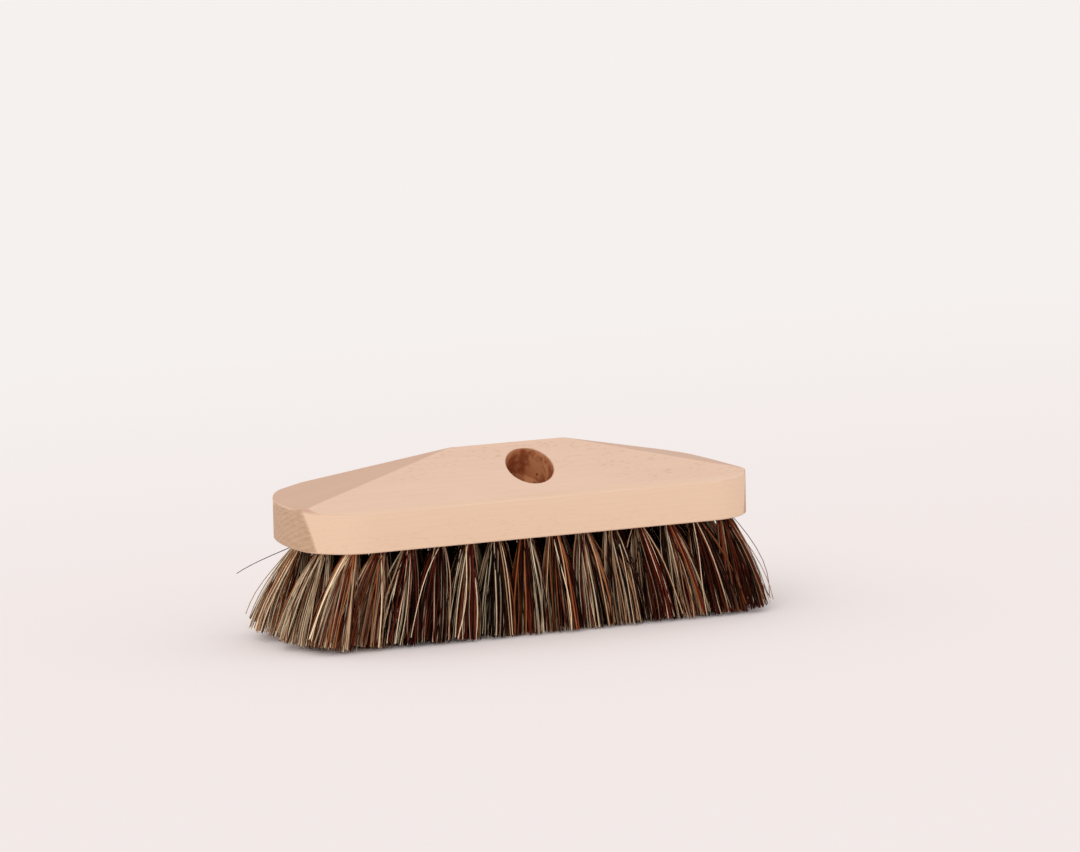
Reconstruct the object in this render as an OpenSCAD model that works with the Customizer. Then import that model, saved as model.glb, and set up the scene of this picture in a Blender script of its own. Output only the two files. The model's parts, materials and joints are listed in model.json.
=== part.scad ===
// Scrub brush head: one beech block, drilled for a stick and for staggered rows of
// tufts of mixed root and palm fibre. Each tuft is folded over a flat wire anchor.
// X runs along the block, -Y is the side that faces the user, +Z is up.
// The origin is on the floor, below the middle of the block.

/* [Block] */
// Length of the block from nose to nose
block_l = 238; // [200:1:300]
// Width of the block from the front face to the back face
block_w = 72; // [64:1:100]
// Height of the front face and of the ledge above it
edge_h = 19.5; // [17:0.5:26]
// Height of the ridge above the underside
ridge_h = 41; // [36:0.5:50]
// Distance of the ridge from the front face
ridge_in = 43.5; // [40:0.5:48]
// Length of the level part of the ridge
ridge_l = 60; // [40:1:100]
// Tilt of the front slope in degrees
slope_a = 38; // [34:1:46]
// Radius of the cove between the ledge and the front slope
cove_r = 22; // [6:0.5:26]
// Height of the back face
back_h = 25.5; // [20:0.5:30]
// Height of the end slopes at the noses
nose_h = 21; // [20:0.5:26]
// Radius of the two front corners seen from above
front_corner_r = 28; // [12:1:30]
// Radius of the two rear corners seen from above
rear_corner_r = 7; // [3:1:22]
// How far each nose bulges past the corners of its end
nose_bulge = 6; // [3:0.5:12]

/* [Stick bore] */
// Diameter of the bore for the stick
bore_d = 24; // [18:0.5:26]
// Depth of the bore along its axis
bore_depth = 18; // [12:0.5:18.5]
// Distance of the bore from the ridge, down the front slope
bore_down = 16.8; // [15:0.2:18]
// Distance of the bore from the middle of the block
bore_side = 6; // [-10:0.5:10]
// Diameter of the pit that the drill's point leaves
pit_d = 3; // [1:0.5:5]
// Depth of that pit
pit_depth = 1.2; // [0.5:0.1:2]

/* [Tuft holes] */
// Rows of tufts across the block
rows = 5; // [3:2:5]
// Tufts in the front row, with one more in each row beside it
row_tufts = 14; // [8:1:15]
// Distance of the outer rows from the long faces
side_margin = 8; // [6:0.5:12]
// Distance of the longer rows' end tufts from the noses
end_margin = 12.6; // [10:0.2:30]
// Diameter of a tuft hole
hole_d = 6.4; // [6:0.2:7]
// Depth of a tuft hole
hole_depth = 8; // [6:0.5:8.5]

/* [Fibres] */
// Height of the underside above the floor
fibre_l = 46.5; // [25:0.5:70]
// Strands that stand for the fibres of one tuft, one in the middle and a ring of them
tuft_strands = 6; // [4:1:6]
// Least distance between a strand and the rim of the root it grows from
root_rim = 0.15; // [0.1:0.05:0.3]
// Radius of the ring of strands at the floor
tip_ring = 6; // [3:0.25:6.5]
// Thickness of a strand at its root
strand_d = 1.5; // [1:0.1:1.6]
// Thickness of a strand at its tip
tip_d = 1.4; // [0.8:0.1:1.6]
// How far the tips of the end tufts lean out along the block
lean_end = 13; // [0:0.5:20]
// How far the tips of the outer rows lean out across the block
lean_side = 8; // [0:0.5:12]
// Unevenness of the strands in a tuft, in degrees
strand_jitter = 10; // [0:1:12]
// Length of the tips that the trimming cut takes off level
trim = 0.5; // [0:0.1:1]

/* [Anchors] */
// Length of an anchor, which bites into the wood on both sides of its hole
anchor_l = 7.4; // [7.2:0.1:9]
// Thickness of an anchor
anchor_t = 0.6; // [0.3:0.1:1]
// Height of an anchor
anchor_h = 2; // [1:0.25:3]
// Wood or fibre left between an anchor and the bottom of its hole
anchor_in = 1.6; // [0.5:0.1:2.5]
// Gap between a piece and what it is set in
fit = 0.05; // [0.02:0.01:0.1]

/* [Hidden] */
$fn = 64;
ranks = 2 * row_tufts + 1;
rank_pitch = (block_l - 2 * end_margin) / (ranks - 1);
row_pitch = (block_w - 2 * side_margin) / (rows - 1);
ridge_y = ridge_in - block_w / 2;
nose_rise = (ridge_h - nose_h) / ((block_l - ridge_l) / 2);
// The nose is an arc through the bulge and the two corners of the end
nose_r = (pow(block_w / 2, 2) + pow(nose_bulge, 2)) / (2 * nose_bulge);
nose_x = block_l / 2 - nose_r;
// The cove touches the ledge at cove_y and the slope at slope_y
foot_y = ridge_y - (ridge_h - edge_h) / tan(slope_a);
cove_y = foot_y - cove_r * tan(slope_a / 2);
slope_y = foot_y + cove_r * tan(slope_a / 2) * cos(slope_a);
slope_z = ridge_h - (ridge_y - slope_y) * tan(slope_a);
bore_y = ridge_y - bore_down * cos(slope_a);
bore_z = fibre_l + ridge_h - bore_down * sin(slope_a);
// Tuft holes and roots have flat sides, which keeps the many of them light
hole_sides = 12;
root_sides = 8;
root_h = hole_depth - fit;
root_r = hole_d / 2 * cos(180 / hole_sides) - fit;
// The ring on which the outer strands start, with their corners inside the root
root_ring = sqrt(pow(root_r * cos(180 / root_sides) - root_rim, 2) - pow(strand_d / 2, 2)) - strand_d / sqrt(12);
ring_strands = tuft_strands - 1;
anchor_z = fibre_l + hole_depth - anchor_in - anchor_h;
// How deep the strands go on, straight up, inside the root of their tuft
strand_in = 1;
// How far out the outer tips stand, as the least and greatest share of their ring's radius
tip_reach = [0.86, 1.04];
reach_seed = 1000;
// The tufts stand turned by one of this many steps
turn_steps = 3;
turn_step = 120 / ring_strands;
// How far a cutting solid runs past what it cuts
over = 20;
wood = "#e2c4a2";
steel = "#8f8a80";
fibres = ["#cdb083", "#8a5a34", "#5b3a26", "#d8c6a0", "#9c4f2c", "#3a2a22", "#b98f5a"];

function two_digits(n) = n < 10 ? str("0", n) : str(n);
function rank_name(i) = str("tuft_rank_", two_digits(i));
function row_name(j) = str("anchors_row_", j);

// Odd ranks hold the tufts of the even rows, and even ranks those of the odd rows
function has_tuft(i, j) = (i + j) % 2 == 1;
function tuft_x(i) = (i - (ranks + 1) / 2) * rank_pitch;
function tuft_y(j) = (j - (rows + 1) / 2) * row_pitch;
function tip_x(i) = tuft_x(i) + lean_end * sin(90 * tuft_x(i) / tuft_x(ranks));
function tip_y(j) = tuft_y(j) + lean_side * tuft_y(j) / tuft_y(rows);

// Tufts that face each other through the middle share their unevenness
function far_side(i, j) = i > ranks + 1 - i || (i == ranks + 1 - i && j > rows + 1 - j);
function tuft_seed(i, j) = far_side(i, j) ? tuft_seed(ranks + 1 - i, rows + 1 - j) : 10 * i + j;
function tuft_turn(i, j) = (far_side(i, j) ? 180 : 0) + turn_step * (tuft_seed(i, j) % turn_steps);

// A corner's arc of radius r has its centre here, and runs into the nose's arc at the blend
function corner_y(r) = block_w / 2 - r;
function corner_x(r) = nose_x + sqrt(pow(nose_r - r, 2) - pow(corner_y(r), 2));
function blend_x(r) = nose_x + (corner_x(r) - nose_x) * nose_r / (nose_r - r);
function blend_y(r) = corner_y(r) * nose_r / (nose_r - r);

// One end of the outline from above, from its front corner to its rear corner
half_plan = [
    [corner_x(front_corner_r), -block_w / 2],
    [blend_x(front_corner_r), -blend_y(front_corner_r)],
    [blend_x(rear_corner_r), blend_y(rear_corner_r)],
    [corner_x(rear_corner_r), block_w / 2]
];

// The block seen from above, as an upright solid
module plan(h) {
    linear_extrude(h) polygon(concat(half_plan, [for (k = [3:-1:0]) [-half_plan[k][0], half_plan[k][1]]]));
    for (side = [-1, 1]) {
        translate([side * corner_x(front_corner_r), -corner_y(front_corner_r), 0])
            cylinder(h = h, r = front_corner_r);
        translate([side * corner_x(rear_corner_r), corner_y(rear_corner_r), 0])
            cylinder(h = h, r = rear_corner_r);
        intersection() {
            translate([side * nose_x, 0, 0]) cylinder(h = h, r = nose_r, $fn = 128);
            translate([side * (block_l / 2 - nose_bulge) - nose_bulge, -blend_y(front_corner_r), 0])
                cube([2 * nose_bulge, blend_y(front_corner_r) + blend_y(rear_corner_r), h]);
        }
    }
}

// Ledge, front slope, ridge and back slope, as the moulder planes them along the block
module long_profile() {
    rotate([90, 0, 90])
        translate([0, 0, -block_l / 2 - over])
            linear_extrude(block_l + 2 * over)
                polygon([
                    [-block_w / 2 - over, -over], [block_w / 2 + over, -over],
                    [block_w / 2 + over, back_h - over * (ridge_h - back_h) / (block_w / 2 - ridge_y)],
                    [ridge_y, ridge_h], [slope_y, slope_z], [cove_y, edge_h],
                    [-block_w / 2 - over, edge_h]
                ]);
}

// The slopes that fall from the ridge to the two noses
module end_profile() {
    nose_x_far = block_l / 2 + over;
    rotate([90, 0, 0])
        translate([0, 0, -block_w / 2 - over])
            linear_extrude(block_w + 2 * over)
                polygon([
                    [-nose_x_far, -over], [nose_x_far, -over],
                    [nose_x_far, nose_h - over * nose_rise],
                    [ridge_l / 2, ridge_h], [-ridge_l / 2, ridge_h],
                    [-nose_x_far, nose_h - over * nose_rise]
                ]);
}

module cove_cut() {
    translate([-block_l / 2 - over, cove_y, edge_h + cove_r])
        rotate([0, 90, 0])
            cylinder(h = block_l + 2 * over, r = cove_r, $fn = 96);
}

// The bore stands square to the front slope
module stick_bore() {
    translate([bore_side, bore_y, bore_z - fibre_l])
        rotate([slope_a, 0, 0]) {
            translate([0, 0, -bore_depth]) cylinder(h = bore_depth + over, d = bore_d);
            translate([0, 0, -bore_depth - pit_depth]) cylinder(h = 2 * pit_depth, d = pit_d, $fn = 24);
        }
}

module at_tufts(i) {
    for (j = [1:rows])
        if (has_tuft(i, j))
            translate([tuft_x(i), tuft_y(j), 0]) children();
}

module anchor(gap) {
    translate([0, 0, anchor_z + anchor_h / 2])
        cube([anchor_l + 2 * gap, anchor_t + 2 * gap, anchor_h + 2 * gap], center = true);
}

module block() {
    color(wood)
        difference() {
            translate([0, 0, fibre_l])
                difference() {
                    intersection() {
                        plan(ridge_h);
                        long_profile();
                        end_profile();
                    }
                    cove_cut();
                    stick_bore();
                }
            for (i = [1:ranks])
                at_tufts(i) {
                    translate([0, 0, fibre_l - over])
                        rotate([0, 0, 180 / hole_sides])
                            cylinder(h = hole_depth + over, d = hole_d, $fn = hole_sides);
                    anchor(fit);
                }
        }
}

// A triangle across a strand, level with the floor
function ring(c, d, a, z) = [for (k = [0:2])
    [c[0] + d / sqrt(3) * cos(a + 120 * k), c[1] + d / sqrt(3) * sin(a + 120 * k), z]];

// The six triangles between one ring and the next
function wall(low) = [for (k = [0:2], upper = [0, 1])
    let (here = low + k, next = low + (k + 1) % 3)
        upper == 0 ? [here, here + 3, next] : [next, here + 3, next + 3]];

// A strand from inside its root down to the trimming cut at the floor, straight below its root
module strand(root, tip, a) {
    cut = fibre_l / (fibre_l + trim);
    polyhedron(
        concat(
            ring(root + (tip - root) * cut, tip_d, a, 0),
            ring(root, strand_d, a, fibre_l),
            ring(root, strand_d, a, fibre_l + strand_in)),
        concat([[0, 1, 2], [8, 7, 6]], wall(0), wall(3)));
}

// One tuft: its root in the hole, slotted for the anchor, and its strands
module tuft(i, j) {
    root = [tuft_x(i), tuft_y(j)];
    tip = [tip_x(i), tip_y(j)];
    turn = tuft_turn(i, j);
    uneven = rands(-strand_jitter, strand_jitter, ring_strands, tuft_seed(i, j));
    reach = rands(tip_reach[0], tip_reach[1], ring_strands, reach_seed + tuft_seed(i, j));
    difference() {
        translate([root[0], root[1], fibre_l])
            rotate([0, 0, 180 / root_sides]) cylinder(h = root_h, r = root_r, $fn = root_sides);
        translate([root[0], root[1], 0]) anchor(fit);
    }
    strand(root, tip, turn);
    // A corner of each outer strand points to the middle, which keeps them apart at the root
    for (k = [0:ring_strands - 1]) {
        a = turn + 360 * k / ring_strands;
        b = a + uneven[k];
        strand(root + root_ring * [cos(a), sin(a)], tip + tip_ring * reach[k] * [cos(b), sin(b)], a + 180);
    }
}

module tuft_rank(i) {
    color(fibres[(3 * i) % len(fibres)])
        for (j = [1:rows])
            if (has_tuft(i, j)) tuft(i, j);
}

module anchors_row(j) {
    color(steel)
        for (i = [1:ranks])
            if (has_tuft(i, j)) translate([tuft_x(i), tuft_y(j), 0]) anchor(0);
}

block();
for (i = [1:ranks])
    tuft_rank(i);
for (j = [1:rows])
    anchors_row(j);
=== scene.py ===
"""A wooden scrub brush head: a moulded beech block, tufts of mixed fibre and flat wire anchors.

All lengths are in metres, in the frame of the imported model: X along the block, -Y to the side with
the stick bore, +Z up, with the floor at Z = 0.
"""

import json
import logging
import math
from dataclasses import dataclass, field
from enum import Enum
from functools import partialmethod

import bmesh
import bpy
from mathutils import Matrix, Vector


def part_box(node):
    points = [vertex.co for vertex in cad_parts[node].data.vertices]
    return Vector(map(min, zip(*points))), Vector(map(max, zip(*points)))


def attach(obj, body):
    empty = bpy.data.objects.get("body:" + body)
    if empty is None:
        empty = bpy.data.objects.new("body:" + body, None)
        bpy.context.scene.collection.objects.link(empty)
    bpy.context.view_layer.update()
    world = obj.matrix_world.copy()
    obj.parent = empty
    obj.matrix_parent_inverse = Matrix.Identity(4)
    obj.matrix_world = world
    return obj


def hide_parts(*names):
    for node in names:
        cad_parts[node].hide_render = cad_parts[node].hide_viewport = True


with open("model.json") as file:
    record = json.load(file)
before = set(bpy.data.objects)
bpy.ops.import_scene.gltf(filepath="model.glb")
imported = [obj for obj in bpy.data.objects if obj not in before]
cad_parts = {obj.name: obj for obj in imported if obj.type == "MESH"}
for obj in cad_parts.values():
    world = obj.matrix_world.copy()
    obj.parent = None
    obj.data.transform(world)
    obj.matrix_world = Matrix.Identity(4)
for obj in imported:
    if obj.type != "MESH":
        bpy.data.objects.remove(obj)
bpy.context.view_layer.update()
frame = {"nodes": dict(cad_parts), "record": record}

MM = 0.001
BODY = "root"
GOLDEN_TURN = math.pi * (3 - math.sqrt(5))
LOG = logging.getLogger("scrub_brush")

Material = bpy.types.Material
Mesh = bpy.types.Mesh
Object = bpy.types.Object
Pair = tuple[float, float]
Triple = tuple[float, float, float]
Shade = tuple[float, float, float, float]


class Mark(Enum):
    """The names of the mesh attributes that the trees share."""

    END = "end_grain"
    CUT = "bored_wood"
    HUE = "fibre_hue"
    TINT = "fibre_tint"
    ALONG = "fibre_along"


class Stream(Enum):
    """The streams of random numbers that the fibres draw from."""

    WILD = 1
    REACH = 2
    WILD_REACH = 3
    AIM = 4
    LEAN_X = 5
    LEAN_Y = 6
    LENGTH = 7
    CLEAR = 8
    BOW = 9
    BOW_TURN = 10
    KINK = 11
    THICKNESS = 12
    OWN_HUE = 13
    LONER = 14
    TINT = 15
    PULL = 16
    LOCK = 41


def linear(red: int, green: int, blue: int) -> Shade:
    """Turn a colour as a screen shows it, 0 to 255, into the linear colour that a shader takes.

    Args:
        red: The red part.
        green: The green part.
        blue: The blue part.

    Returns:
        The linear colour with an alpha of 1.
    """
    parts = [c / 255 for c in (red, green, blue)]
    shades = [c / 12.92 if c <= 0.04045 else ((c + 0.055) / 1.055) ** 2.4 for c in parts]
    return (shades[0], shades[1], shades[2], 1.0)


@dataclass(frozen=True)
class Field:
    """A value in a node tree, on which plain arithmetic makes Math nodes."""

    tree: "Tree"
    socket: bpy.types.NodeSocket

    def math(self, operation: str, *others: "Field | float") -> "Field":
        """Add one Math node.

        Args:
            operation: The node's operation.
            *others: Its further inputs.

        Returns:
            The node's result.
        """
        node = self.tree.nodes.new("ShaderNodeMath")
        node.operation = operation
        for slot, value in zip(node.inputs, (self, *others)):
            self.tree.put(slot, value)
        return Field(self.tree, node.outputs[0])

    __add__ = partialmethod(math, "ADD")
    __sub__ = partialmethod(math, "SUBTRACT")
    __mul__ = partialmethod(math, "MULTIPLY")
    __truediv__ = partialmethod(math, "DIVIDE")
    __pow__ = partialmethod(math, "POWER")

    def __rsub__(self, other: float) -> "Field":
        """Return a number less the field."""
        return (self * -1.0) + other

    def toward(self, other: "Field | float", share: "Field") -> "Field":
        """Return the value moved towards another one by a share of the way."""
        return self + share * (other - self)


class Tree:
    """A node tree under construction, with short calls for what every tree here needs."""

    def __init__(self, owner: bpy.types.NodeTree) -> None:
        """Take over an empty tree."""
        self.owner = owner
        self.nodes = owner.nodes
        self.links = owner.links

    def put(self, slot: bpy.types.NodeSocket, value: object) -> None:
        """Feed a socket from a field, or set its own value."""
        if isinstance(value, Field):
            self.links.new(value.socket, slot)
        else:
            slot.default_value = value

    def add(
        self, kind: str, inputs: dict[str, object] | None = None, **settings: object
    ) -> bpy.types.Node:
        """Add a node.

        Args:
            kind: The node's type.
            inputs: What its inputs get, by the sockets' identifiers.
            **settings: Its properties.

        Returns:
            The node.
        """
        node = self.nodes.new(kind)
        for name, value in settings.items():
            setattr(node, name, value)
        for name, value in (inputs or {}).items():
            self.put(next(s for s in node.inputs if s.identifier == name), value)
        return node

    def out(self, node: bpy.types.Node, name: str) -> Field:
        """Return one output of a node as a field, by the socket's identifier."""
        return Field(self, next(s for s in node.outputs if s.identifier == name))

    def get(self, kind: str, name: str, *inputs: dict[str, object], **settings: object) -> Field:
        """Add a node and return one of its outputs."""
        return self.out(self.add(kind, *inputs, **settings), name)


@dataclass(frozen=True)
class Noise:
    """Noise in space: its waves in a metre along each axis, its detail and its roughness."""

    scale: Triple
    detail: float
    rough: float


class ShaderTree(Tree):
    """The tree of a new material, with short calls for what the finishes share."""

    def __init__(self, name: str) -> None:
        """Start a material whose patterns lie on the object's own coordinates."""
        self.material = bpy.data.materials.new(name)
        self.material.use_nodes = True
        super().__init__(self.material.node_tree)
        self.nodes.clear()
        self.place = self.get("ShaderNodeTexCoord", "Object")

    def axis(self, name: str) -> Field:
        """Return one of the object's own coordinates."""
        return self.get("ShaderNodeSeparateXYZ", name, {"Vector": self.place})

    def mark(self, mark: Mark) -> Field:
        """Return an attribute of the mesh."""
        return self.get("ShaderNodeAttribute", "Fac", attribute_name=mark.value)

    def stretched(self, scale: Triple, shift: Triple = (0.0, 0.0, 0.0)) -> Field:
        """Return the object's own coordinates, stretched and shifted."""
        inputs = {"Vector": self.place, "Location": shift, "Scale": scale}
        return self.get("ShaderNodeMapping", "Vector", inputs)

    def noise(self, noise: Noise) -> Field:
        """Return noise."""
        inputs = {"Vector": self.stretched(noise.scale), "Scale": 1.0,
                  "Detail": noise.detail, "Roughness": noise.rough}
        return self.get("ShaderNodeTexNoise", "Fac", inputs)

    def step(self, value: Field, low: float, high: float) -> Field:
        """Return a smooth step from 0 at one value to 1 at another."""
        inputs = {"Value": value, "From Min": low, "From Max": high}
        return self.get("ShaderNodeMapRange", "Result", inputs, interpolation_type="SMOOTHSTEP")

    def bands(self, value: Field, stops: list[tuple[float, Shade]]) -> Field:
        """Turn a value into one of a few plain colours.

        Args:
            value: Where on the ramp to look.
            stops: Where each colour starts, and the colour.

        Returns:
            The colour.
        """
        node = self.add("ShaderNodeValToRGB", {"Fac": value})
        node.color_ramp.interpolation = "CONSTANT"
        elements = node.color_ramp.elements
        elements[0].position, elements[0].color = stops[0]
        elements[1].position, elements[1].color = stops[-1]
        for position, colour in stops[1:-1]:
            elements.new(position).color = colour
        return self.out(node, "Color")

    def blend(self, share: Field | float, low: object, high: object, mode: str = "MIX") -> Field:
        """Mix two colours, where the share says how much of the second one shows."""
        inputs = {"Factor_Float": share, "A_Color": low, "B_Color": high}
        return self.get("ShaderNodeMix", "Result_Color", inputs, data_type="RGBA", blend_type=mode)

    def close(self, inputs: dict[str, object]) -> Material:
        """End the tree with a shader that has these inputs, and return the material."""
        shader = self.get("ShaderNodeBsdfPrincipled", "BSDF", inputs)
        self.add("ShaderNodeOutputMaterial", {"Surface": shader})
        return self.material


class GeometryTree(Tree):
    """A Geometry Nodes tree whose inputs are kept by name."""

    def __init__(self, name: str) -> None:
        """Start a tree with one geometry in and one out."""
        super().__init__(bpy.data.node_groups.new(name, "GeometryNodeTree"))
        self.entry = self.nodes.new("NodeGroupInput")
        self.identifiers: dict[str, str] = {}
        kind = "NodeSocketGeometry"
        self.geometry = self.input("Geometry", kind)
        self.owner.interface.new_socket("Geometry", in_out="OUTPUT", socket_type=kind)

    def input(self, name: str, kind: str = "NodeSocketFloat") -> Field:
        """Add a named input and return it as a field."""
        item = self.owner.interface.new_socket(name, in_out="INPUT", socket_type=kind)
        self.identifiers[name] = item.identifier
        return self.out(self.entry, item.identifier)

    def points(self) -> Field:
        """Return the points of the geometry that comes in."""
        return self.get("GeometryNodeMeshToPoints", "Points", {"Mesh": self.geometry})

    def named(self, name: str) -> Field:
        """Return a float attribute of the geometry."""
        kind = "GeometryNodeInputNamedAttribute"
        return self.get(kind, "Attribute", {"Name": name}, data_type="FLOAT")

    def store(self, geometry: Field, name: str, value: Field) -> Field:
        """Return the geometry with a float attribute on its points."""
        inputs = {"Geometry": geometry, "Name": name, "Value": value}
        kind = "GeometryNodeStoreNamedAttribute"
        return self.get(kind, "Geometry", inputs, data_type="FLOAT", domain="POINT")

    def scatter(self, points: Field, what: Field) -> Field:
        """Return a plain copy of some geometry at each point."""
        inputs = {"Points": points, "Instance": what}
        return self.plain(self.get("GeometryNodeInstanceOnPoints", "Instances", inputs))

    def plain(self, geometry: Field) -> Field:
        """Return the geometry with its instances made real."""
        return self.get("GeometryNodeRealizeInstances", "Geometry", {"Geometry": geometry})

    def random(self, low: float, high: float, ident: Field, seed: Field | int) -> Field:
        """Return a random number for each element, told apart by ident."""
        inputs = {"Min_001": low, "Max_001": high, "ID": ident, "Seed": seed}
        return self.get("FunctionNodeRandomValue", "Value_001", inputs, data_type="FLOAT")

    def close(self, mesh: Field, material: Field) -> None:
        """End the tree: what was repeated becomes a plain mesh with its material."""
        inputs = {"Geometry": self.plain(mesh), "Material": material}
        dressed = self.get("GeometryNodeSetMaterial", "Geometry", inputs)
        self.put(self.nodes.new("NodeGroupOutput").inputs[0], dressed)

    def run(self, source: Object, values: dict[str, object]) -> Mesh:
        """Run the tree on an object and return the mesh that it makes.

        Args:
            source: The object that holds the tree's geometry. It is deleted.
            values: The tree's inputs by name.

        Returns:
            The plain mesh.
        """
        modifier = source.modifiers.new("tree", "NODES")
        modifier.node_group = self.owner
        for name, value in values.items():
            modifier[self.identifiers[name]] = value
        mesh = plain_mesh(source)
        source.modifiers.remove(modifier)
        bpy.data.objects.remove(source)
        return mesh


def link(name: str, data: bpy.types.ID) -> Object:
    """Put a mesh, camera or lamp into the scene under a name."""
    made = bpy.data.objects.new(name, data)
    bpy.context.scene.collection.objects.link(made)
    return made


def poured(name: str, shape: bmesh.types.BMesh) -> Mesh:
    """Return a new mesh with what was built, which is freed."""
    mesh = bpy.data.meshes.new(name)
    shape.to_mesh(mesh)
    shape.free()
    return mesh


def plain_mesh(source: Object) -> Mesh:
    """Return an object's mesh with its modifiers applied."""
    graph = bpy.context.evaluated_depsgraph_get()
    return bpy.data.meshes.new_from_object(
        source.evaluated_get(graph), preserve_all_data_layers=True, depsgraph=graph
    )


def finish(piece: Object, node: str) -> None:
    """Let a piece ride on the body in the place of its CAD node, and report it.

    Args:
        piece: The finished piece.
        node: The CAD node that it stands for.
    """
    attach(piece, BODY)
    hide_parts(node)
    LOG.info("%s: %d faces", piece.name, len(piece.data.polygons))


def arc(centre: Pair, radius: float, start: float, end: float, steps: int) -> list[Pair]:
    """Return points on an arc between two angles in degrees, both ends included."""
    angles = [math.radians(start + (end - start) * k / steps) for k in range(steps + 1)]
    return [(centre[0] + radius * math.cos(a), centre[1] + radius * math.sin(a)) for a in angles]


def prism(name: str, outline: list[Pair], low: float, high: float, turn: Matrix) -> Object:
    """Make a solid by pushing an outline along its own Z.

    Args:
        name: The object's name.
        outline: The points, counter-clockwise.
        low: Where the solid starts.
        high: Where it ends.
        turn: What carries the outline's axes to the frame's.

    Returns:
        The solid.
    """
    shape = bmesh.new()
    rings = [[shape.verts.new(turn @ Vector((x, y, z))) for x, y in outline] for z in (low, high)]
    shape.faces.new(list(reversed(rings[0])))
    shape.faces.new(rings[1])
    for k in range(len(outline)):
        after = (k + 1) % len(outline)
        shape.faces.new((rings[0][k], rings[0][after], rings[1][after], rings[1][k]))
    bmesh.ops.recalc_face_normals(shape, faces=shape.faces)
    return link(name, poured(name, shape))


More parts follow.
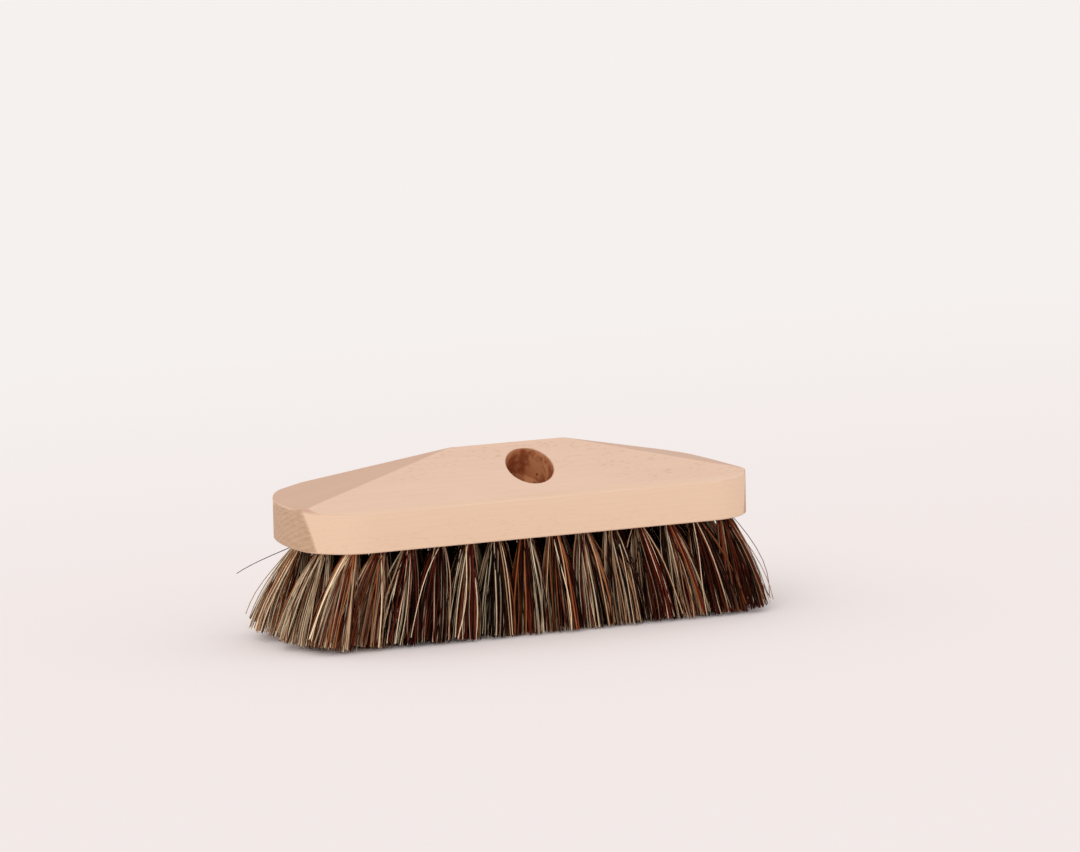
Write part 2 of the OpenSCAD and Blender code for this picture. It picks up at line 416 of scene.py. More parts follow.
@dataclass(frozen=True)
class Beech:
    """Bare sanded beech: fine grain along X, short dark rays, and rings on the end grain.

    A share says how much of a colour shows, and a pair of values where a smooth step runs.
    """

    pale: Shade = linear(234, 200, 177)
    warm: Shade = linear(226, 189, 165)
    # Painted light: the sides below the slopes get this lighter colour, so they show as bright as
    # the slopes.
    face: Shade = linear(243, 209, 178)
    # Painted shade: the end slopes get this darker colour.
    slope: Shade = linear(196, 153, 126)
    ray: Shade = linear(176, 124, 92)
    end: Shade = linear(202, 165, 134)
    end_dark: Shade = linear(186, 148, 117)
    # The bore's wall: the redder colour of bored wood, made darker as painted shade of the recess.
    bore_wall_and_shade: Shade = linear(214, 156, 110)
    bore_wall_and_shade_dark: Shade = linear(158, 88, 54)
    speck: Shade = linear(60, 26, 16)
    roughness: float = 0.62
    specular: float = 0.35
    bump: float = 0.12
    bump_depth: float = 0.3 * MM
    drift: Noise = Noise((6, 40, 40), 2.0, 0.6)
    fine: Noise = Noise((45, 1500, 1500), 3.0, 0.6)
    ripple: Noise = Noise((500, 160, 1100), 2.0, 0.6)
    patches: Noise = Noise((120, 120, 60), 3.0, 0.7)
    warm_from: float = 0.3
    warm_gain: float = 1.6
    face_top: float = 66 * MM
    painted_side_light_share: float = 0.75
    grain_from: float = 0.3
    grain_share: float = 0.2
    pith: Triple = (0.0, 0.06, 0.11)
    ring_stretch: Triple = (0.12, 1.0, 1.0)
    ring_waves: float = 120.0
    ring_share: float = 0.02
    ray_waves: Triple = (170.0, 1000.0, 1000.0)
    ray_edge: Pair = (0.34, 0.1)
    ray_drift: Pair = (0.42, 0.6)
    ray_share: float = 0.36
    ray_less: float = 0.22
    painted_slope_shade_from: Pair = (0.1, 0.2)
    painted_slope_shade_share: float = 0.58
    underside: float = 46.5 * MM
    end_from: float = 0.84
    # Painted shade: on the right the darker end colour starts sooner round the corner.
    end_shade_from_right: float = 0.72
    end_soft: float = 0.04
    end_slant: float = 7.0
    end_share: float = 0.9
    end_mix: Pair = (0.85, 0.15)
    end_edge: Pair = (0.3, 0.7)
    patch_edge: Pair = (0.4, 0.62)
    speck_at: Triple = (16.0 * MM, 8.2 * MM, 70.1 * MM)
    speck_edge: Pair = (0.78 * MM, 0.42 * MM)
    speck_share: float = 0.85

    def material(self) -> Material:
        """Build the material.

        Returns:
            The material.
        """
        tree = ShaderTree("beech")
        fine, rings, along = tree.noise(self.fine), self._rings(tree), tree.mark(Mark.END)
        height = tree.axis("Z")
        low = tree.step(height, self.face_top + MM, self.face_top - MM)
        wood = self._faces(tree, low, fine, rings)
        # Painted shade: the slopes at the ends, which face along the grain, are darkened towards the
        # slope colour.
        painted_slope_shade = tree.step(along, *self.painted_slope_shade_from) * (1.0 - low) * self.painted_slope_shade_share
        wood = tree.blend(painted_slope_shade, wood, self.slope)
        slant = along - (height - self.underside) * self.end_slant + fine * self.end_soft
        # Painted shade: the darker end colour reaches further round the right end's corner than the
        # left's.
        right = tree.step(tree.axis("X"), -MM, MM)
        slant = slant + right * (self.end_from - self.end_shade_from_right)
        ended = tree.step(slant, self.end_from, self.end_from + self.end_soft)
        ripple = tree.noise(self.ripple) * self.end_mix[0] + rings * self.end_mix[1]
        ends = tree.blend(tree.step(ripple, *self.end_edge), self.end, self.end_dark)
        colour = tree.blend(ended * self.end_share, wood, ends)
        # Inside the bore: the bored wood's own redder colour, darkened as painted shade of the
        # recess, in random patches.
        patch = tree.step(tree.noise(self.patches), *self.patch_edge)
        inside = tree.blend(patch, self.bore_wall_and_shade, self.bore_wall_and_shade_dark)
        colour = tree.blend(tree.mark(Mark.CUT), colour, inside)
        inputs = {"Vector": tree.place, "Vector_001": self.speck_at}
        away = tree.get("ShaderNodeVectorMath", "Value", inputs, operation="DISTANCE")
        spot = tree.step(away, *self.speck_edge) * self.speck_share
        colour = tree.blend(spot, colour, self.speck)
        inputs = {"Height": fine, "Strength": self.bump, "Distance": self.bump_depth}
        bump = tree.get("ShaderNodeBump", "Normal", inputs)
        return tree.close({"Base Color": colour, "Roughness": self.roughness,
                           "Specular IOR Level": self.specular, "Normal": bump})

    def _faces(self, tree: ShaderTree, low: Field, fine: Field, rings: Field) -> Field:
        """Return the colour of the faces along the grain, with painted light on the sides below the
        slopes.

        Args:
            tree: The material's tree.
            low: How far below the slopes a point is, from 0 to 1.
            fine: The fine grain.
            rings: The year rings.

        Returns:
            The colour.
        """
        drift = tree.noise(self.drift)
        wood = tree.blend((drift - self.warm_from) * self.warm_gain, self.pale, self.warm)
        # Painted light: the sides below the slopes are blended towards the lighter face colour.
        wood = tree.blend(low * self.painted_side_light_share, wood, self.face)
        grain = (rings - 0.5) * self.ring_share + (fine - self.grain_from) * self.grain_share
        wood = tree.blend(grain, wood, self.ray)
        rays = self._rays(tree) * tree.step(drift, *self.ray_drift)
        return tree.blend(rays * (self.ray_share - low * self.ray_less), wood, self.ray)

    def _rings(self, tree: ShaderTree) -> Field:
        """Return the year rings, round a pith that lies well below the block."""
        inputs = {"Vector": tree.stretched(self.ring_stretch, self.pith), "Scale": self.ring_waves,
                  "Distortion": 2.2, "Detail": 2.0, "Detail Scale": 0.6}
        return tree.get("ShaderNodeTexWave", "Fac", inputs, wave_type="RINGS", rings_direction="X")

    def _rays(self, tree: ShaderTree) -> Field:
        """Return the short dark dashes that the wood's rays leave on its faces."""
        inputs = {"Vector": tree.stretched(self.ray_waves), "Scale": 1.0, "Randomness": 1.0}
        return tree.step(tree.get("ShaderNodeTexVoronoi", "Distance", inputs), *self.ray_edge)


@dataclass(frozen=True)
class MixedFibre:
    """Stiff root and palm fibre, from pale straw over orange brown to nearly black."""

    straw: Shade = linear(240, 214, 178)
    tan: Shade = linear(200, 158, 122)
    orange: Shade = linear(162, 94, 54)
    russet: Shade = linear(104, 34, 20)
    brown: Shade = linear(56, 22, 10)
    black: Shade = linear(20, 5, 2)
    starts: tuple[float, ...] = (0.0, 0.17, 0.32, 0.42, 0.56, 0.75)
    streaks: Noise = Noise((900, 900, 160), 2.0, 0.6)
    tint_gain: float = 0.95
    streak_gain: float = 0.6
    darker: float = 0.02
    roughness: float = 0.55
    specular: float = 0.06

    def material(self) -> Material:
        """Build the material.

        Returns:
            The material.
        """
        tree = ShaderTree("mixed_fibre")
        shades = (self.straw, self.tan, self.orange, self.russet, self.brown, self.black)
        colour = tree.bands(tree.mark(Mark.HUE), list(zip(self.starts, shades)))
        streak = tree.noise(self.streaks)
        shade = tree.mark(Mark.TINT) * self.tint_gain + streak * self.streak_gain - self.darker
        dull = tree.get("ShaderNodeCombineXYZ", "Vector", dict.fromkeys("XYZ", shade))
        colour = tree.blend(1.0, colour, dull, "MULTIPLY")
        return tree.close({"Base Color": colour, "Roughness": self.roughness,
                           "Specular IOR Level": self.specular})


@dataclass(frozen=True)
class GalvanisedWire:
    """Flat wire with the dull, cloudy face of its zinc."""

    bright: Shade = linear(176, 176, 172)
    dull: Shade = linear(128, 128, 126)
    cloud: Noise = Noise((800, 800, 800), 3.0, 0.7)
    roughness: float = 0.45

    def material(self) -> Material:
        """Return the material."""
        tree = ShaderTree("galvanised_wire")
        colour = tree.blend(tree.noise(self.cloud), self.bright, self.dull)
        return tree.close({"Base Color": colour, "Metallic": 1.0, "Roughness": self.roughness})


@dataclass
class TuftPlan:
    """Where the tufts stand, read from the anchors in the frame."""

    anchor_half: float = 3.7 * MM
    ranks: int = field(init=False)
    rows: list[float] = field(init=False)
    stations: list[float] = field(init=False)

    def __post_init__(self) -> None:
        """Read the ranks along the block and the rows across it."""
        names = sorted(frame["nodes"])
        self.ranks = sum(name.startswith("tuft_rank_") for name in names)
        rows = [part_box(name) for name in names if name.startswith("anchors_row_")]
        self.rows = [(low.y + high.y) / 2 for low, high in rows]
        first = min(low.x for low, _ in rows) + self.anchor_half
        last = max(high.x for _, high in rows) - self.anchor_half
        self.stations = [first + (last - first) * k / (self.ranks - 1) for k in range(self.ranks)]

    def in_rank(self, rank: int) -> list[Pair]:
        """Return where a rank's tufts stand; odd and even ranks hold alternate rows."""
        x = self.stations[rank]
        return [(x, y) for row, y in enumerate(self.rows) if (rank + row) % 2 == 1]


def stick_bore() -> dict:
    """Return the record's mount for the stick."""
    return next(m for m in frame["record"]["mounts"] if m["name"] == "stick_bore")


@dataclass
class Block:
    """The beech block: moulded along and across, rounded at the ends, and bored.

    Angles are in degrees. A face looks up when its normal's Z is over the value of upward.
    """

    edge_height: float = 19.5 * MM
    ridge_in: float = 43.5 * MM
    ridge_length: float = 60 * MM
    slope: float = 38.0
    cove_radius: float = 22 * MM
    back_height: float = 25.5 * MM
    nose_height: float = 21 * MM
    front_corner_radius: float = 28 * MM
    rear_corner_radius: float = 7 * MM
    nose_bulge: float = 6 * MM
    eased: float = 0.8 * MM
    eased_ends: float = 2.4 * MM
    eased_ridge: float = 0.5 * MM
    eased_over: float = 8.0
    eased_from: Pair = (-14 * MM, 0.0)
    crisp_front: float = -10 * MM
    upward: float = 0.5
    smooth_to: float = 38.0
    crisp_over: float = 12.0
    weld: float = 0.2 * MM
    bore_radius: float = 12 * MM
    bore_depth: float = 18 * MM
    pit_radius: float = 1.5 * MM
    pit_depth: float = 1.2 * MM
    rim: float = 0.45 * MM
    hole_radius: float = 3.2 * MM
    hole_depth: float = 8 * MM
    over: float = 20 * MM
    slack: float = 0.1 * MM

    def __post_init__(self) -> None:
        """Take the block's reach from the frame."""
        low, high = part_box("block")
        self.length = high.x - low.x
        self.width = high.y - low.y
        self.underside = low.z
        self.ridge_height = high.z - low.z
        self.ridge_y = low.y + self.ridge_in

    def plan(self) -> list[Pair]:
        """Draw the block's outline seen from above, with arcs for the noses and corners.

        Returns:
            The outline's points, counter-clockwise.
        """
        half, side = self.length / 2, self.width / 2
        nose_radius = (side**2 + self.nose_bulge**2) / (2 * self.nose_bulge)
        nose_x = half - nose_radius

        def corner(radius: float, steps: int) -> tuple[float, list[Pair]]:
            """Return where a corner's arc leaves the nose, in degrees, and the arc."""
            y = side - radius
            x = nose_x + math.sqrt((nose_radius - radius) ** 2 - y**2)
            meet = math.degrees(math.atan2(y, x - nose_x))
            return meet, arc((x, y), radius, meet, 90, steps)

        front_meet, front = corner(self.front_corner_radius, 28)
        rear_meet, rear = corner(self.rear_corner_radius, 14)
        nose = arc((nose_x, 0), nose_radius, -front_meet, rear_meet, 30)[1:-1]
        right = [(x, -y) for x, y in reversed(front)] + nose + rear
        return right + [(-x, y) for x, y in reversed(right)]

    def long_profile(self) -> list[Pair]:
        """Draw the section across the block: ledge, cove, slope, ridge and back.

        Returns:
            The section's points, as Y and height.
        """
        slope, radius, side = math.radians(self.slope), self.cove_radius, self.width / 2
        foot = self.ridge_y - (self.ridge_height - self.edge_height) / math.tan(slope)
        reach = radius * math.tan(math.radians(self.slope / 2))
        fall = (self.ridge_height - self.back_height) / (side - self.ridge_y)
        centre = (foot - reach, self.edge_height + radius)
        return [
            (-side - self.over, -self.over),
            (side + self.over, -self.over),
            (side + self.over, self.back_height - self.over * fall),
            (self.ridge_y, self.ridge_height),
            *reversed(arc(centre, radius, -90, self.slope - 90, 20)),
            (-side - self.over, self.edge_height),
        ]

    def end_profile(self) -> list[Pair]:
        """Draw the section along the block.

        Returns:
            The section's points, as X and height.
        """
        far = self.length / 2 + self.over
        level = self.ridge_length / 2
        fall = (self.ridge_height - self.nose_height) / (self.length / 2 - level)
        nose = self.nose_height - self.over * fall
        return [(-far, -self.over), (far, -self.over), (far, nose), (level, self.ridge_height),
                (-level, self.ridge_height), (-far, nose)]

    def bore_tool(self) -> Object:
        """Turn the tool that bores the stick's hole, with a slightly eased rim.

        Returns:
            The tool, where it bores.
        """
        bore = stick_bore()
        bottom = -self.bore_depth - self.pit_depth
        wall, mouth = self.bore_radius, self.bore_radius + self.rim
        profile = [(0.0, bottom), (self.pit_radius, bottom), (self.pit_radius, -self.bore_depth),
                   (wall, -self.bore_depth), (wall, -self.rim),
                   (wall + 0.4 * self.rim, -0.35 * self.rim),
                   (mouth, 0.0), (mouth, self.over), (0.0, self.over)]
        shape = bmesh.new()
        verts = [shape.verts.new((r, 0.0, z)) for r, z in profile]
        edges = [shape.edges.new(pair) for pair in zip(verts, verts[1:])]
        bmesh.ops.spin(
            shape, geom=verts + edges, axis=(0, 0, 1), cent=(0, 0, 0), angle=math.tau, steps=96
        )
        bmesh.ops.remove_doubles(shape, verts=shape.verts, dist=1e-6)
        bmesh.ops.recalc_face_normals(shape, faces=shape.faces)
        turn = Vector(bore["axis"]).to_track_quat("Z", "X").to_matrix().to_4x4()
        shape.transform(Matrix.Translation(Vector(bore["pos_m"])) @ turn)
        return link("bore_tool", poured("bore_tool", shape))

    def moulded(self) -> Object:
        """Shape the block as it leaves the moulder, with eased edges and no holes yet.

        Returns:
            The block.
        """
        up = Matrix.Translation((0, 0, self.underside))
        along = up @ Matrix(((0, 0, 1, 0), (1, 0, 0, 0), (0, 1, 0, 0), (0, 0, 0, 1)))
        across = up @ Matrix(((1, 0, 0, 0), (0, 0, -1, 0), (0, 1, 0, 0), (0, 0, 0, 1)))
        reach = self.length / 2 + 2 * self.over
        body = prism("block_blank", self.plan(), 0.0, self.ridge_height + self.over, up)
        cutters = [
            prism("along", self.long_profile(), -reach, reach, along),
            prism("across", self.end_profile(), -reach, reach, across),
        ]
        for cutter in cutters:
            cut = body.modifiers.new(cutter.name, "BOOLEAN")
            cut.operation, cut.solver, cut.object = "INTERSECT", "EXACT", cutter
        sharp = link("block_sharp", plain_mesh(body))
        self._weigh_edges(sharp.data)
        ease = sharp.modifiers.new("ease", "BEVEL")
        ease.width, ease.segments = self.eased_ends, 4
        ease.limit_method, ease.use_clamp_overlap, ease.loop_slide = "WEIGHT", False, False
        mesh = plain_mesh(sharp)
        for used in (body, sharp, *cutters):
            bpy.data.objects.remove(used)
        return link("block_moulded", mesh)

    def _weigh_edges(self, mesh: Mesh) -> None:
        """Store how much each edge is eased: most round the top of the ends, least at the ridge.

        Args:
            mesh: The block's sharp mesh.
        """
        shape = bmesh.new()
        shape.from_mesh(mesh)
        bmesh.ops.remove_doubles(shape, verts=shape.verts, dist=self.weld)
        weights = shape.edges.layers.float.new("bevel_weight_edge")
        first, last = self.eased_from
        least = math.radians(self.eased_over)
        for edge in shape.edges:
            if len(edge.link_faces) != 2 or edge.calc_face_angle(0.0) < least:
                continue
            lower, upper = sorted((face.normal for face in edge.link_faces), key=lambda n: n.z)
            y = (edge.verts[0].co.y + edge.verts[1].co.y) / 2
            width = self.eased
            if lower.z > self.upward:
                if y < self.crisp_front:
                    continue
                width = self.eased_ridge
            elif upper.z > self.upward:
                share = min(1.0, max(0.0, (y - first) / (last - first)))
                share *= share * (3 - 2 * share)
                width += (self.eased_ends - self.eased) * share * lower.x**2
            elif abs(upper.z) < self.upward and abs(lower.z) < self.upward:
                continue
            edge[weights] = width / self.eased_ends
        shape.to_mesh(mesh)
        shape.free()

    def drill_tree(self) -> GeometryTree:
        """Build the tree that drills the tuft holes and the stick's bore.

        Returns:
            The tree.
        """
        tree = GeometryTree("drilled_block")
        body = tree.input("Body", "NodeSocketObject")
        tool = tree.input("Bore Tool", "NodeSocketObject")
        radius = tree.input("Hole Radius")
        depth = tree.input("Hole Depth")
        material = tree.input("Material", "NodeSocketMaterial")
        inputs = {"Vertices": 32, "Radius": radius, "Depth": depth * 2.0}
        drill = tree.get("GeometryNodeMeshCylinder", "Mesh", inputs)
        holes = tree.scatter(tree.points(), drill)
        kind = "GeometryNodeObjectInfo"
        blank, turned = (tree.get(kind, "Geometry", {"Object": used}) for used in (body, tool))
        cut = tree.add("GeometryNodeMeshBoolean", operation="DIFFERENCE", solver="EXACT")
        tree.put(cut.inputs["Mesh 1"], blank)
        tree.put(cut.inputs["Mesh 2"], turned)
        tree.put(cut.inputs["Mesh 2"], holes)
        tree.close(tree.out(cut, "Mesh"), material)
        return tree

    def build(self, plan: TuftPlan, material: Material) -> None:
        """Make the drilled block and put it in the place of the CAD node.

        Args:
            plan: Where the tufts stand.
            material: The wood.
        """
        mouths = bpy.data.meshes.new("mouths")
        spots = [spot for rank in range(plan.ranks) for spot in plan.in_rank(rank)]
        mouths.from_pydata([(x, y, self.underside) for x, y in spots], [], [])
        body, tool = self.moulded(), self.bore_tool()
        values = {"Body": body, "Bore Tool": tool, "Hole Radius": self.hole_radius,
                  "Hole Depth": self.hole_depth, "Material": material}
        mesh = self.drill_tree().run(link("mouths", mouths), values)
        for used in (body, tool):
            bpy.data.objects.remove(used)
        made = link("beech_block", mesh)
        self._shade(made)
        self._mark_end_grain(made.data)
        self._mark_bore(made.data)
        finish(made, "block")

    def _shade(self, made: Object) -> None:
        """Smooth the rounded stretches and keep the flats flat.

        Args:
            made: The drilled block.
        """
        made.data.shade_smooth()
        made.data.set_sharp_from_angle(angle=math.radians(self.smooth_to))
        shape = bmesh.new()
        shape.from_mesh(made.data)
        least = math.radians(self.crisp_over)
        for edge in shape.edges:
            on_top = all(face.normal.z > self.upward for face in edge.link_faces)
            if on_top and edge.calc_face_angle(0.0) > least:
                edge.smooth = False
        shape.to_mesh(made.data)
        shape.free()
        weigh = made.modifiers.new("weigh", "WEIGHTED_NORMAL")
        weigh.keep_sharp = True
        mesh = plain_mesh(made)
        made.modifiers.clear()
        made.data = mesh

    @staticmethod
    def _mark_end_grain(mesh: Mesh) -> None:
        """Store how squarely each corner of a face looks along the grain."""
        marks = mesh.attributes.new(Mark.END.value, "FLOAT", "CORNER")
        values = [abs(normal.vector.x) for normal in mesh.corner_normals]
        marks.data.foreach_set("value", values)

    def _mark_bore(self, mesh: Mesh) -> None:
        """Store which faces the stick's drill has left.

        Args:
            mesh: The drilled block's mesh.
        """
        bore = stick_bore()
        mouth, axis = Vector(bore["pos_m"]), Vector(bore["axis"])
        bottom = -self.bore_depth - self.pit_depth - self.rim
        values = []
        for face in mesh.polygons:
            away = face.center - mouth
            height = away.dot(axis)
            inside = (away - axis * height).length < self.bore_radius + self.slack
            values.append(float(inside and bottom < height < -self.rim))
        marks = mesh.attributes.new(Mark.CUT.value, "FLOAT", "FACE")
        marks.data.foreach_set("value", values)


@dataclass(frozen=True)
class Habit:
    """How a tuft's fibres grow. A pair is the least and the most of what chance gives a fibre."""

    sides: int = 5
    steps: int = 9
    wild_from: float = 0.84
    wild_reach: Pair = (0.05, 0.4)
    wild_turn: float = 2.0
    wild_bow: float = 1.6
    reach: float = 0.85
    more_reach: Pair = (0, 0.3)
    turn: Pair = (-0.9, 0.9)
    lean: Pair = (0.75, 1.25)
    lean_spread: float = 0.2
    length: Pair = (0.978, 1.006)
    clear: Pair = (0.1 * MM, 0.6 * MM)
    bow: Pair = (-1.1 * MM, 1.1 * MM)
    kink: Pair = (-0.4 * MM, 0.4 * MM)
    slimmer: float = 1.4
    taper: float = 0.2
    stray_thickness: float = 0.12
    stray_hue: float = 0.65
    locks: float = 5.0
    lock_turn: float = 0.37
    loner_from: float = 0.42


class FibreTree(GeometryTree):
    """The tree that grows a bunch of fibres at each point."""

    def __init__(self, habit: Habit) -> None:
        """Name the tree's inputs and build it.

        Args:
            habit: How the fibres grow.
        """
        super().__init__("fibre_bunches")
        self.habit = habit
        self.count = self.input("Fibres", "NodeSocketInt")
        self.mouth, self.splay = self.input("Mouth Radius"), self.input("Tip Radius")
        self.length, self.drop = self.input("Fibre Length"), self.input("Mouth Height")
        self.inset = self.input("Inset")
        self.thin, self.thick = self.input("Thinnest Radius"), self.input("Thickest Radius")
        self.seed = self.input("Seed", "NodeSocketInt")
        material = self.input("Material", "NodeSocketMaterial")
        inputs = {"Geometry": self.points(), "Amount": self.count}
        many = self.add("GeometryNodeDuplicateElements", inputs, domain="POINT")
        self.number = self.out(many, "Duplicate Index")
        self.index = self.get("GeometryNodeInputIndex", "Index")
        bunches = self.out(many, "Geometry")
        for name, value in self._facts().items():
            bunches = self.store(bunches, name, value)
        self.close(self._skin(self._lines(bunches)), material)

    def chance(self, low: float, high: float, stream: Stream) -> Field:
        """Return a random number for each fibre, from a stream of its own."""
        return self.random(low, high, self.index, self.seed + float(stream.value))

    def _facts(self) -> dict[str, Field]:
        """Work out what tells each fibre from the others.

        Returns:
            The facts, by the names of their attributes.
        """
        habit, chance, named = self.habit, self.chance, self.named
        share = ((self.number + 0.5) / self.count) ** 0.5
        turn = self.number * GOLDEN_TURN + named("tuft")
        wild = chance(0, 1, Stream.WILD).math("GREATER_THAN", habit.wild_from)
        lone = named("stray").math("GREATER_THAN", 0.5) * self.number.math("LESS_THAN", 0.5)

        reach = (share * habit.reach + chance(*habit.more_reach, Stream.REACH)) * self.splay
        reach = reach * (wild * chance(*habit.wild_reach, Stream.WILD_REACH) + 1.0)
        aim = turn + chance(*habit.turn, Stream.AIM) * (wild * habit.wild_turn + 1.0)
        lean_x = named("lean_x") * chance(*habit.lean, Stream.LEAN_X)
        lean_y = named("lean_y") * chance(*habit.lean, Stream.LEAN_Y)
        across = lean_x + reach * aim.math("COSINE")
        away = lean_y + reach * aim.math("SINE")
        real = self.length * chance(*habit.length, Stream.LENGTH)
        fall = (real * real - across * across - away * away).math("SQRT")
        fall = fall.math("MINIMUM", self.drop - chance(*habit.clear, Stream.CLEAR))
        across = across.toward(named("stray_x"), lone)
        away = away.toward(named("stray_y"), lone)

        bow = chance(*habit.bow, Stream.BOW) * (wild * habit.wild_bow + 1.0)
        bow_turn = chance(0, math.tau, Stream.BOW_TURN)
        thicker = chance(0, 1, Stream.THICKNESS) ** habit.slimmer
        thicker = thicker * (1.0 - lone) + lone * habit.stray_thickness
        return {
            "root_x": share * self.mouth * turn.math("COSINE"),
            "root_y": share * self.mouth * turn.math("SINE"),
            "tip_x": across,
            "tip_y": away,
            "lean_to_x": lean_x.toward(across, lone),
            "lean_to_y": lean_y.toward(away, lone),
            "fall": fall.toward(named("stray_fall"), lone),
            "bow_x": bow * bow_turn.math("COSINE"),
            "bow_y": bow * bow_turn.math("SINE"),
            "kink": chance(*habit.kink, Stream.KINK),
            "thickness": self.thin + (self.thick - self.thin) * thicker,
            Mark.HUE.value: self._hue(turn).toward(habit.stray_hue, lone),
            Mark.TINT.value: chance(0, 1, Stream.TINT),
        }

    def _hue(self, turn: Field) -> Field:
        """Return each fibre's hue: that of its lock, or its own, drawn to that of its rank.

        Args:
            turn: Where round its tuft a fibre stands.

        Returns:
            The hue, from 0 to 1.
        """
        locks, tuft = self.habit.locks, self.named("tuft")
        lock = turn * (locks / math.tau) + tuft * self.habit.lock_turn
        lock = lock.math("FLOORED_MODULO", locks).math("FLOOR")
        shared = self.random(0, 1, lock + tuft * locks, Stream.LOCK.value)
        loner = self.chance(0, 1, Stream.LONER).math("GREATER_THAN", self.habit.loner_from)
        hue = shared.toward(self.chance(0, 1, Stream.OWN_HUE), loner)
        drawn = (self.named("pull") * self.chance(0, 1, Stream.PULL)).math("MINIMUM", 1.0)
        return hue.toward(self.named("pull_to"), drawn)

    def _lines(self, bunches: Field) -> Field:
        """Return the fibres' middle lines: straight in the hole, then leaning, spreading and bent.

        Args:
            bunches: A point for each fibre, with its facts.

        Returns:
            The lines, marked with how far along them a point is.
        """
        inputs = {"Curve": self.get("GeometryNodeCurvePrimitiveLine", "Curve"),
                  "Count": self.habit.steps}
        grown = self.scatter(bunches, self.get("GeometryNodeResampleCurve", "Curve", inputs))
        place = self.get("GeometryNodeInputPosition", "Position")
        start = self.add("ShaderNodeSeparateXYZ", {"Vector": place})
        along = self.get("GeometryNodeSplineParameter", "Factor")
        first = 1.0 / (self.habit.steps - 1)
        free = ((along - first) / (1 - first)).math("MAXIMUM", 0.0)
        held = (1.0 - along / first).math("MAXIMUM", 0.0)
        spread, early = self.named("spread"), self.habit.lean_spread
        flare = free * (spread + 1.0) - free * free * spread
        steady = free * (early + 1.0) - free * free * early
        swing = (free * math.pi).math("SINE")
        wave = (free * math.tau).math("SINE") * self.named("kink")

        def bent(axis: str) -> Field:
            """Return where a point lies along X or Y, but for its kink."""
            lean = self.named(f"lean_to_{axis}")
            reached = self.out(start, axis.upper()) + self.named(f"root_{axis}") + lean * steady
            reached = reached + (self.named(f"tip_{axis}") - lean) * flare
            return reached + self.named(f"bow_{axis}") * swing

        height = self.drop + held * self.inset - free * self.named("fall")
        inputs = {"X": bent("x") + wave, "Y": bent("y") - wave, "Z": height}
        inputs = {"Geometry": grown, "Position": self.get("ShaderNodeCombineXYZ", "Vector", inputs)}
        shaped = self.get("GeometryNodeSetPosition", "Geometry", inputs)
        return self.store(shaped, Mark.ALONG.value, free)

    def _skin(self, lines: Field) -> Field:
        """Give the fibres their skins, which taper towards the tips.

        Args:
            lines: The fibres' middle lines.

        Returns:
            The skins.
        """
        inputs = {"Resolution": self.habit.sides, "Radius": 1.0}
        ring = self.get("GeometryNodeCurvePrimitiveCircle", "Curve", inputs)
        slimmed = 1.0 - self.named(Mark.ALONG.value) * self.habit.taper
        inputs = {"Curve": lines, "Profile Curve": ring,
                  "Scale": self.named("thickness") * slimmed, "Fill Caps": True}
        return self.get("GeometryNodeCurveToMesh", "Mesh", inputs)


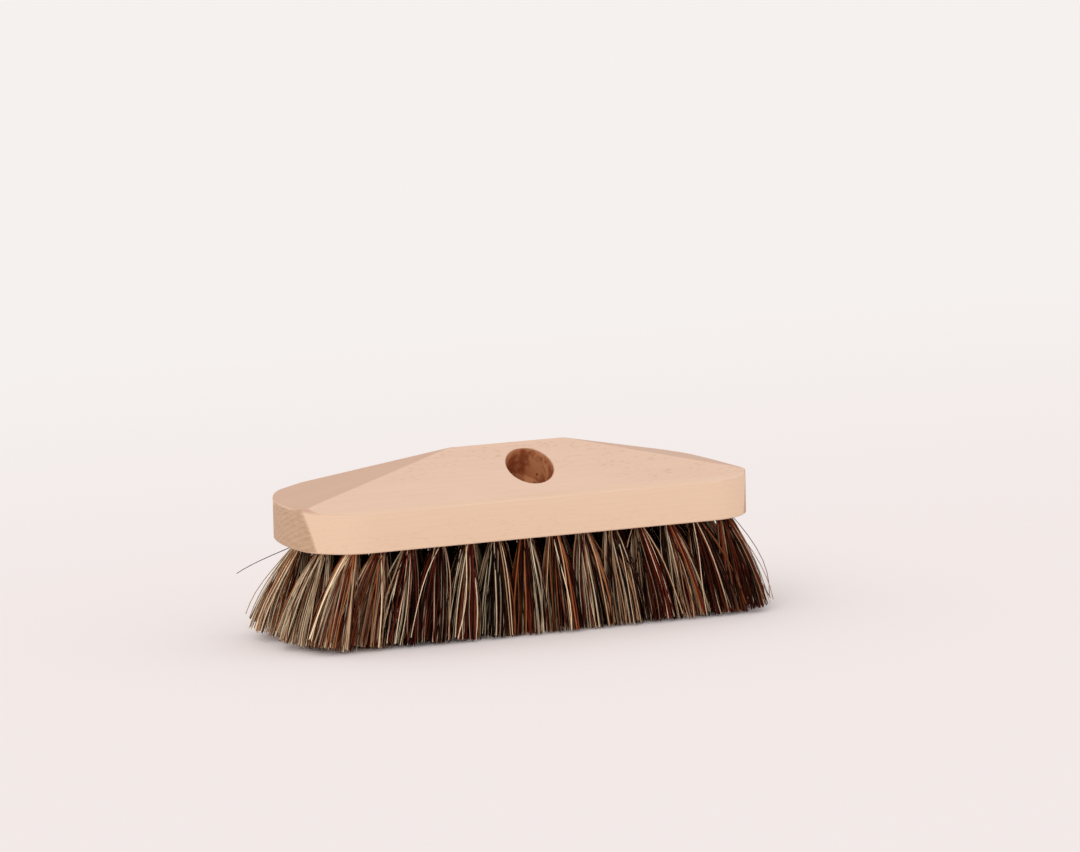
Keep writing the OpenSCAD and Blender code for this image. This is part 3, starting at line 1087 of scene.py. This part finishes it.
@dataclass
class Tufts:
    """The fibres, one piece for each rank across the block."""

    habit: Habit = Habit()
    count: int = 130
    mouth_radius: float = 2.95 * MM
    tip_radius: float = 8.2 * MM
    spread_outer: float = 0.85
    spread_ends: float = 0.9
    spread_inner: float = 1.2
    length: float = 47.6 * MM
    inset: float = 5 * MM
    thin: float = 0.20 * MM
    thick: float = 0.42 * MM
    lean_left: float = 15 * MM
    lean_right: float = 10 * MM
    lean_side: float = 6.4 * MM
    stray_rank: int = 0
    stray: Triple = (-29.6 * MM, 13.4 * MM, 14.7 * MM)
    pull_left: Pair = (0.1, 1.15)
    pull_right: Pair = (0.4, 1.0)
    pull_ranks: int = 6
    seed: int = 7
    seeds_apart: int = 100

    def _spread(self, along: float, across: float) -> float:
        """Return how early a tuft's fibres spread, from its place as a share of the outermost's."""
        if across > 0.99:
            return self.spread_outer
        return self.spread_ends if along > 0.9 else self.spread_inner

    def _pull(self, rank: int, ranks: int) -> Pair:
        """Return the hue that a rank near an end is drawn to, and how far."""
        for steps, (hue, most) in ((rank, self.pull_left), (ranks - 1 - rank, self.pull_right)):
            if steps < self.pull_ranks:
                return hue, most * (1 - steps / self.pull_ranks)
        return 0.5, 0.0

    def mouths(self, plan: TuftPlan, rank: int) -> Mesh:
        """Return a point for each tuft of a rank, with what tells the tuft from the others.

        Args:
            plan: Where the tufts stand.
            rank: The rank, counted from the left.

        Returns:
            The points.
        """
        spots = plan.in_rank(rank)
        end_x, end_y = plan.stations[-1], plan.rows[-1]
        lean = self.lean_right if plan.stations[rank] > 0 else self.lean_left
        hue, pull = self._pull(rank, plan.ranks)
        facts = {
            "lean_x": [lean * math.sin(math.pi / 2 * x / end_x) for x, _ in spots],
            "lean_y": [self.lean_side * y / end_y for _, y in spots],
            "tuft": [float(rank * len(plan.rows) + k) for k in range(len(spots))],
            "spread": [self._spread(abs(x) / end_x, abs(y) / end_y) for x, y in spots],
            "pull_to": [hue] * len(spots),
            "pull": [pull] * len(spots),
            "stray": [float(rank == self.stray_rank and y > 0) for _, y in spots],
        }
        for axis, reach in zip(("x", "y", "fall"), self.stray):
            facts[f"stray_{axis}"] = [reach] * len(spots)
        mesh = bpy.data.meshes.new("mouths")
        mesh.from_pydata([(x, y, 0.0) for x, y in spots], [], [])
        for name, values in facts.items():
            mesh.attributes.new(name, "FLOAT", "POINT").data.foreach_set("value", values)
        return mesh

    def build(self, plan: TuftPlan, block: Block, material: Material) -> None:
        """Grow the fibres of every rank and put them in the place of the CAD nodes.

        Args:
            plan: Where the tufts stand.
            block: What they stand in.
            material: The fibres' material.
        """
        tree = FibreTree(self.habit)
        for rank in range(plan.ranks):
            values = {"Fibres": self.count, "Mouth Radius": self.mouth_radius,
                      "Tip Radius": self.tip_radius, "Fibre Length": self.length,
                      "Mouth Height": block.underside, "Inset": self.inset,
                      "Thinnest Radius": self.thin, "Thickest Radius": self.thick,
                      "Seed": self.seed + self.seeds_apart * rank, "Material": material}
            mesh = tree.run(link("mouths", self.mouths(plan, rank)), values)
            mesh.shade_smooth()
            finish(link(f"fibres_rank_{rank + 1:02}", mesh), f"tuft_rank_{rank + 1:02}")


@dataclass
class Anchors:
    """The flat wires that hold the tufts. They keep their CAD shape and get their finish."""

    material: Material

    def dress(self) -> None:
        """Give every row of anchors its material."""
        for name, node in frame["nodes"].items():
            if name.startswith("anchors_row_"):
                node.data.materials.clear()
                node.data.materials.append(self.material)
                LOG.info("%s: dressed", name)


@dataclass
class Studio:
    """The camera at the photograph's viewing angle, a pale floor and soft light.

    The anchor is the point of the object that shows at the anchor pixel. Angles are in degrees.
    """

    azimuth: float = -24.3
    elevation: float = 8.2
    roll: float = 1.35
    distance: float = 3.0
    picture: tuple[int, int] = (1080, 852)
    pixels_per_mm: float = 2.07
    anchor_x: float = -1.6 * MM
    anchor_pixel: Pair = (542.8, 537.3)
    sensor: float = 36.0
    sight: float = 100.0
    floor_radius: float = 40.0
    # Painted light: the floor is a little lighter and less pink towards the back.
    floor_near: Shade = linear(246, 237, 235)
    floor_far_lit: Shade = linear(248, 244, 241)
    floor_light_fade: Pair = (0.1, 1.2)
    floor_roughness: float = 0.9
    sky_colour: Shade = linear(245, 241, 238)
    sky_strength: float = 0.86
    key_strength: float = 0.55
    key_width: float = 40.0
    key_from: Triple = (-0.6, -0.62, 0.75)

    def camera(self, block: Block) -> None:
        """Make the camera, with the middle of the block's lower front edge as its anchor.

        Args:
            block: The block.
        """
        anchor = Vector((self.anchor_x, -block.width / 2, block.underside))
        turn, tilt, roll = (math.radians(a) for a in (self.azimuth, self.elevation, self.roll))
        level, rise = math.cos(tilt), math.sin(tilt)
        right = Vector((math.cos(turn), math.sin(turn), 0.0))
        back = Vector((math.sin(turn) * level, -math.cos(turn) * level, rise))
        up = back.cross(right)
        right, up = (right * math.cos(roll) - up * math.sin(roll),
                     right * math.sin(roll) + up * math.cos(roll))
        metre = self.pixels_per_mm / MM
        width, height = self.picture
        aim = anchor + right * ((width / 2 - self.anchor_pixel[0]) / metre)
        aim -= up * ((height / 2 - self.anchor_pixel[1]) / metre)
        data = bpy.data.cameras.new("camera")
        data.sensor_width = self.sensor
        data.lens = self.sensor * self.distance * metre / width
        data.clip_end = self.sight
        made = link("camera", data)
        axes = Matrix((right, up, back)).transposed().to_4x4()
        made.matrix_world = Matrix.Translation(aim + back * self.distance) @ axes
        bpy.context.scene.camera = made

    def floor(self) -> None:
        """Make the pale floor, with painted light that makes it a little lighter towards the back.
        """
        shape = bmesh.new()
        bmesh.ops.create_circle(shape, cap_ends=True, segments=64, radius=self.floor_radius)
        made = link("floor", poured("floor", shape))
        tree = ShaderTree("floor")
        # Painted light: the floor's colour turns lighter towards the back.
        far = tree.step(tree.axis("Y"), *self.floor_light_fade)
        colour = tree.blend(far, self.floor_near, self.floor_far_lit)
        paint = tree.close({"Base Color": colour, "Roughness": self.floor_roughness,
                            "Specular IOR Level": 0.0})
        made.data.materials.append(paint)

    def light(self) -> None:
        """Make the soft light: an even sky, and a broad lamp above the front."""
        world = bpy.data.worlds.new("sky")
        bpy.context.scene.world = world
        world.use_nodes = True
        tree = Tree(world.node_tree)
        tree.nodes.clear()
        rays = tree.add("ShaderNodeLightPath")
        seen = tree.out(rays, "Is Camera Ray").math("MAXIMUM", tree.out(rays, "Is Glossy Ray"))
        seen = seen.math("MAXIMUM", tree.out(rays, "Is Transmission Ray"))
        mixed = tree.add("ShaderNodeMixShader", {"Fac": seen})
        skies = (((1, 1, 1, 1), self.sky_strength), (self.sky_colour, 1.0))
        for slot, (colour, strength) in zip(mixed.inputs[1:], skies):
            inputs = {"Color": colour, "Strength": strength}
            tree.put(slot, tree.get("ShaderNodeBackground", "Background", inputs))
        tree.add("ShaderNodeOutputWorld", {"Surface": tree.out(mixed, "Shader")})
        lamp = bpy.data.lights.new("key", "SUN")
        lamp.energy = self.key_strength
        lamp.angle = math.radians(self.key_width)
        made = link("key", lamp)
        made.rotation_euler = Vector(self.key_from).to_track_quat("Z", "Y").to_euler()


def main() -> None:
    """Build the brush and the studio round it."""
    logging.basicConfig(level=logging.INFO, format="%(message)s")
    bpy.context.scene.view_settings.view_transform = "Standard"
    plan = TuftPlan()
    block = Block()
    block.build(plan, Beech().material())
    Tufts().build(plan, block, MixedFibre().material())
    Anchors(GalvanisedWire().material()).dress()
    studio = Studio()
    studio.camera(block)
    studio.floor()
    studio.light()


if __name__ == "__main__":
    main()
